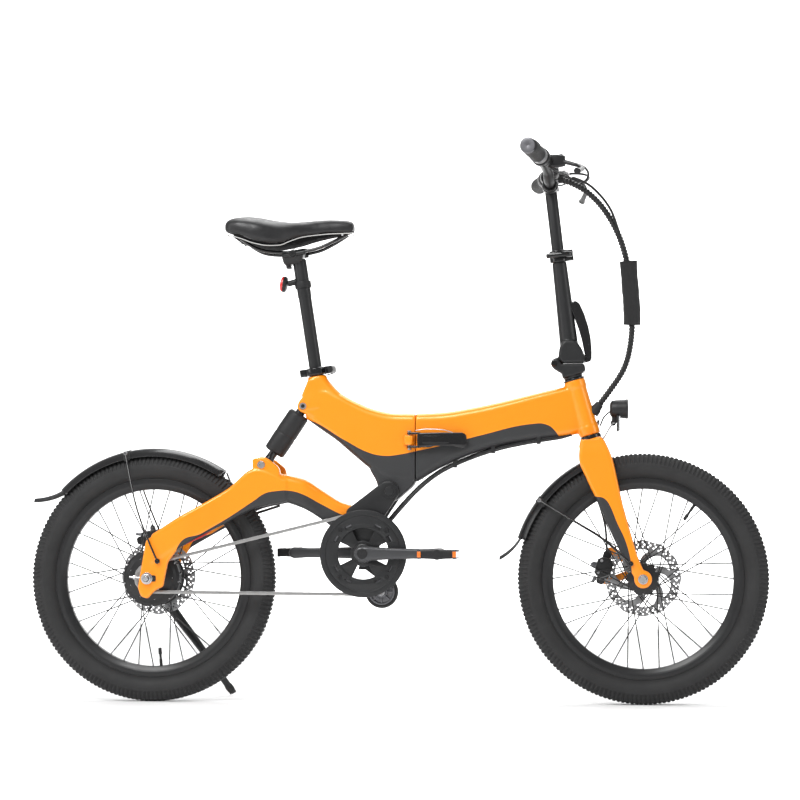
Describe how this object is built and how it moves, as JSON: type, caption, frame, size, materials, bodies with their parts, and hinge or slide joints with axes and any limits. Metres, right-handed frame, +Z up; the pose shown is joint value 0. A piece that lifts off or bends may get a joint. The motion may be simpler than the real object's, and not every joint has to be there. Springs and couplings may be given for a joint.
{
  "type": "folding bicycle",
  "caption": "Small-wheeled folding electric bicycle with a hinged main frame, rear suspension, disc brakes, mudguards, folding handlepost and kickstand.",
  "frame": {"origin": "on the ground, midway between the two axles, in the plane of the wheels", "axes": "+X forward, +Y to the rider's left, +Z up"},
  "size_m": [1.55, 0.6028, 1.1392],
  "materials": {
    "frame_paint": "pearl orange gloss paint over cast alloy",
    "black_steel": "black coated steel",
    "black_alloy": "black anodised",
    "steel": "brushed",
    "tyre": "matt with tread",
    "rubber": "matt",
    "plastic": "fine texture",
    "saddle_cover": "soft vinyl",
    "lamp": "gloss",
    "battery": "matt",
    "cable": "satin"
  },
  "bodies": {
    "rear_frame": {"rear_frame": "frame_paint", "seat_clamp": "black_alloy", "frame_pins": "black_alloy"},
    "seat_lever": {"seat_clamp_lever": "black_alloy"},
    "seat": {"seatpost": "black_alloy", "saddle_frame": "black_alloy", "saddle": "saddle_cover", "rear_light": "lamp"},
    "shock_upper": {"shock_body": "rubber"},
    "shock_lower": {"shock_rod": "steel"},
    "swingarm": {"swingarm": "frame_paint", "swingarm_bolts": "steel", "bottom_bracket": "black_alloy", "chain": "steel", "rear_caliper": "black_alloy", "rear_mudguard": "plastic", "swingarm_hose": "cable"},
    "rear_wheel": {"hub_motor": "black_steel", "rear_spokes": "black_steel", "rear_rim": "black_alloy", "rear_tyre": "tyre", "rear_rotor": "steel"},
    "freewheel": {"freewheel": "steel"},
    "crankset": {"crank_arm_right": "black_alloy", "crank_arm_left": "black_alloy", "chainring": "black_alloy"},
    "pedal_right": {"pedal_right": "plastic"},
    "pedal_left": {"pedal_left": "plastic"},
    "caster": {"caster_wheel": "rubber"},
    "kickstand": {"kickstand": "black_alloy"},
    "front_frame": {"front_frame": "frame_paint", "battery_pack": "battery", "headset_cups": "black_alloy", "frame_cables": "cable"},
    "frame_latch": {"frame_latch_lever": "black_alloy"},
    "fork": {"fork": "frame_paint", "front_axle": "steel", "front_caliper": "black_alloy", "front_mudguard": "plastic", "handlepost_base": "black_alloy", "harness_lower": "cable"},
    "front_wheel": {"front_hub": "black_alloy", "front_spokes": "black_steel", "front_rim": "black_alloy", "front_tyre": "tyre", "front_rotor": "steel"},
    "headlight": {"headlight": "lamp"},
    "handlepost": {"handlepost_lower": "black_alloy", "post_clamp": "black_alloy", "harness_middle": "cable"},
    "handlepost_latch": {"handlepost_latch": "black_alloy"},
    "post_lever": {"post_clamp_lever": "black_alloy"},
    "bars": {"handlepost_upper": "black_alloy", "handlebar": "black_alloy", "grips": "rubber", "bar_controls": "plastic", "harness_upper": "cable"},
    "throttle": {"throttle": "plastic"},
    "brake_lever_left": {"brake_lever_left": "black_alloy"},
    "brake_lever_right": {"brake_lever_right": "black_alloy"}
  },
  "joints": [
    {"name": "swingarm_pivot", "type": "hinge", "parent": "rear_frame", "child": "swingarm", "pos_m": [-0.01, 0, 0.442], "axis": [0, 1, 0], "range_deg": [0, 4.4], "stiffness_Nm_per_rad": 9000, "springref_deg": -0.8},
    {"name": "shock_swing", "type": "hinge", "parent": "rear_frame", "child": "shock_upper", "pos_m": [-0.195, 0, 0.621], "axis": [0, 1, 0], "range_deg": [0, 3.4]},
    {"name": "shock_compress", "type": "slide", "parent": "shock_upper", "child": "shock_lower", "axis": [0.5562, 0, 0.831], "range_m": [0, 0.0205]},
    {"name": "crank_spin", "type": "hinge", "parent": "swingarm", "child": "crankset", "pos_m": [-0.063, 0, 0.312], "axis": [0, 1, 0], "continuous": true},
    {"name": "freewheel_spin", "type": "hinge", "parent": "swingarm", "child": "freewheel", "pos_m": [-0.515, 0, 0.26], "axis": [0, 1, 0], "continuous": true},
    {"name": "rear_wheel_spin", "type": "hinge", "parent": "swingarm", "child": "rear_wheel", "pos_m": [-0.515, 0, 0.26], "axis": [0, 1, 0], "continuous": true},
    {"name": "pedal_right_spin", "type": "hinge", "parent": "crankset", "child": "pedal_right", "pos_m": [0.099, -0.12, 0.312], "axis": [0, 1, 0], "continuous": true},
    {"name": "pedal_left_spin", "type": "hinge", "parent": "crankset", "child": "pedal_left", "pos_m": [-0.225, 0.12, 0.312], "axis": [0, 1, 0], "continuous": true},
    {"name": "caster_spin", "type": "hinge", "parent": "swingarm", "child": "caster", "pos_m": [-0.029, -0.01, 0.232], "axis": [0, 1, 0], "continuous": true},
    {"name": "kickstand_fold", "type": "hinge", "parent": "swingarm", "child": "kickstand", "pos_m": [-0.497, 0.092, 0.196], "axis": [0, 1, 0], "range_deg": [0, 108]},
    {"name": "seatpost_slide", "type": "slide", "parent": "rear_frame", "child": "seat", "axis": [-0.1521, 0, 0.9884], "range_m": [-0.09, 0]},
    {"name": "seat_lever_swing", "type": "hinge", "parent": "rear_frame", "child": "seat_lever", "pos_m": [-0.15102, 0.026, 0.69727], "axis": [-0.1521, 0, 0.9884], "range_deg": [0, 150]},
    {"name": "frame_fold", "type": "hinge", "parent": "rear_frame", "child": "front_frame", "pos_m": [0.043, 0.046, 0.532], "axis": [0, 0, 1], "range_deg": [0, 147], "deforming": ["frame_cables"]},
    {"name": "frame_latch_swing", "type": "hinge", "parent": "rear_frame", "child": "frame_latch", "pos_m": [0.031, -0.034, 0.548], "axis": [0, 0, -1], "range_deg": [0, 110]},
    {"name": "steering", "type": "hinge", "parent": "front_frame", "child": "fork", "pos_m": [0.3905, 0, 0.6157], "axis": [-0.2756, 0, 0.9613], "range_deg": [-75, 75], "deforming": ["harness_lower"]},
    {"name": "front_wheel_spin", "type": "hinge", "parent": "fork", "child": "front_wheel", "pos_m": [0.515, 0, 0.26], "axis": [0, 1, 0], "continuous": true},
    {"name": "headlight_tilt", "type": "hinge", "parent": "fork", "child": "headlight", "pos_m": [0.455, 0, 0.584], "axis": [0, 1, 0], "range_deg": [-18, 18]},
    {"name": "handlepost_fold", "type": "hinge", "parent": "fork", "child": "handlepost", "pos_m": [0.333, 0, 0.708], "axis": [0, 1, 0], "range_deg": [-90, 0], "deforming": ["harness_middle"]},
    {"name": "handlepost_latch_swing", "type": "hinge", "parent": "handlepost", "child": "handlepost_latch", "pos_m": [0.404, 0, 0.717], "axis": [0, 1, 0], "range_deg": [0, 100]},
    {"name": "handlepost_slide", "type": "slide", "parent": "handlepost", "child": "bars", "axis": [-0.1141, 0, 0.9935], "range_m": [-0.11, 0], "deforming": ["harness_upper"]},
    {"name": "post_lever_swing", "type": "hinge", "parent": "handlepost", "child": "post_lever", "pos_m": [0.36621, -0.019, 0.93584], "axis": [-0.1141, 0, 0.9935], "range_deg": [0, 150]},
    {"name": "throttle_twist", "type": "hinge", "parent": "bars", "child": "throttle", "pos_m": [0.30847, -0.18229, 1.12046], "axis": [0.1483, 0.9887, -0.0198], "range_deg": [0, 60], "stiffness_Nm_per_rad": 0.4},
    {"name": "brake_right", "type": "hinge", "parent": "bars", "child": "brake_lever_right", "pos_m": [0.352, -0.116, 1.118], "axis": [0, 0, -1], "range_deg": [0, 20], "stiffness_Nm_per_rad": 3},
    {"name": "brake_left", "type": "hinge", "parent": "bars", "child": "brake_lever_left", "pos_m": [0.352, 0.116, 1.118], "axis": [0, 0, 1], "range_deg": [0, 20], "stiffness_Nm_per_rad": 3}
  ],
  "couplings": [
    {"joint": "freewheel_spin", "follows": "crank_spin", "ratio": 3},
    {"joint": "shock_swing", "follows": "swingarm_pivot", "ratio": 0.71},
    {"joint": "shock_compress", "follows": "swingarm_pivot", "m_per_rad": 0.2535}
  ]
}
